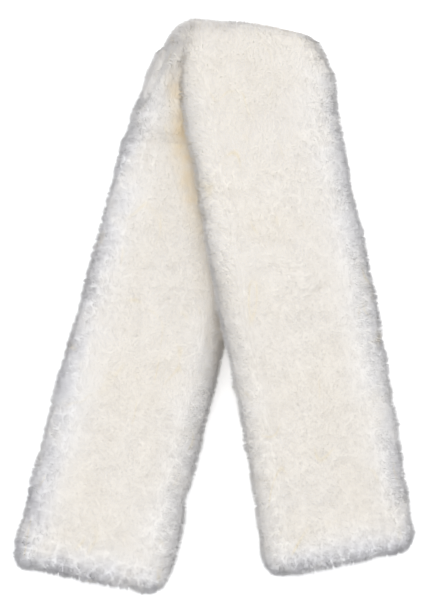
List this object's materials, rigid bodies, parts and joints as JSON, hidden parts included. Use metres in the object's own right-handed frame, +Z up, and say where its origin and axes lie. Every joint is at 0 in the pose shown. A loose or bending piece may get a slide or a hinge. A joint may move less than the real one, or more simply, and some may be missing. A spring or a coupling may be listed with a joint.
{
  "type": "sheepskin girth sleeve",
  "caption": "Long flat tube of natural white sheepskin with wool on all sides, folded once; a saddle girth slides through it.",
  "frame": {"origin": "middle of the folded sleeve's footprint, on the surface it lies on", "axes": "+Z up; +Y from the two mouths towards the fold; +X from the lower leg towards the upper leg; the hinges of the fold lie along X"},
  "size_m": [0.3876, 0.5678, 0.0843],
  "materials": {
    "wool": "dense sheared natural white wool pile",
    "hide": "matt tanned sheepskin, flesh side",
    "lining": "smooth plain woven lining",
    "binding": "woven tape",
    "thread": "twisted sewing thread"
  },
  "bodies": {
    "lower_leg": {"lower_outer_wool": "wool", "lower_inner_wool": "wool", "lower_outer_hide": "hide", "lower_inner_hide": "hide", "lower_outer_lining": "lining", "lower_inner_lining": "lining", "lower_left_seam": "thread", "lower_right_seam": "thread", "lower_mouth_binding": "binding", "lower_mouth_stitching": "thread"},
    "fold": {"fold_outer_wool": "wool", "fold_outer_hide": "hide", "fold_inner_hide": "hide", "fold_outer_lining": "lining", "fold_inner_lining": "lining", "fold_left_seam": "thread", "fold_right_seam": "thread"},
    "upper_leg": {"upper_outer_wool": "wool", "upper_inner_wool": "wool", "upper_outer_hide": "hide", "upper_inner_hide": "hide", "upper_outer_lining": "lining", "upper_inner_lining": "lining", "upper_left_seam": "thread", "upper_right_seam": "thread"},
    "upper_end": {"end_outer_wool": "wool", "end_inner_wool": "wool", "end_outer_hide": "hide", "end_inner_hide": "hide", "end_outer_lining": "lining", "end_inner_lining": "lining", "end_left_seam": "thread", "end_right_seam": "thread", "end_mouth_binding": "binding", "end_mouth_stitching": "thread"}
  },
  "joints": [
    {"name": "lower_fold_hinge", "type": "hinge", "parent": "lower_leg", "child": "fold", "pos_m": [-0.00947, 0.26292, 0.021], "axis": [-1, 0, 0], "range_deg": [0, 90]},
    {"name": "upper_fold_hinge", "type": "hinge", "parent": "fold", "child": "upper_leg", "pos_m": [0.01453, 0.26292, 0.0633], "axis": [-1, 0, 0], "range_deg": [0, 90]},
    {"name": "droop_bend", "type": "hinge", "parent": "upper_leg", "child": "upper_end", "pos_m": [0.06651, 0.01839, 0.0633], "axis": [-0.9781, -0.2079, 0], "range_deg": [0, 9.26]}
  ],
  "couplings": [
    {"joint": "upper_fold_hinge", "follows": "lower_fold_hinge", "ratio": 1},
    {"joint": "droop_bend", "follows": "lower_fold_hinge", "ratio": 0.10284}
  ]
}
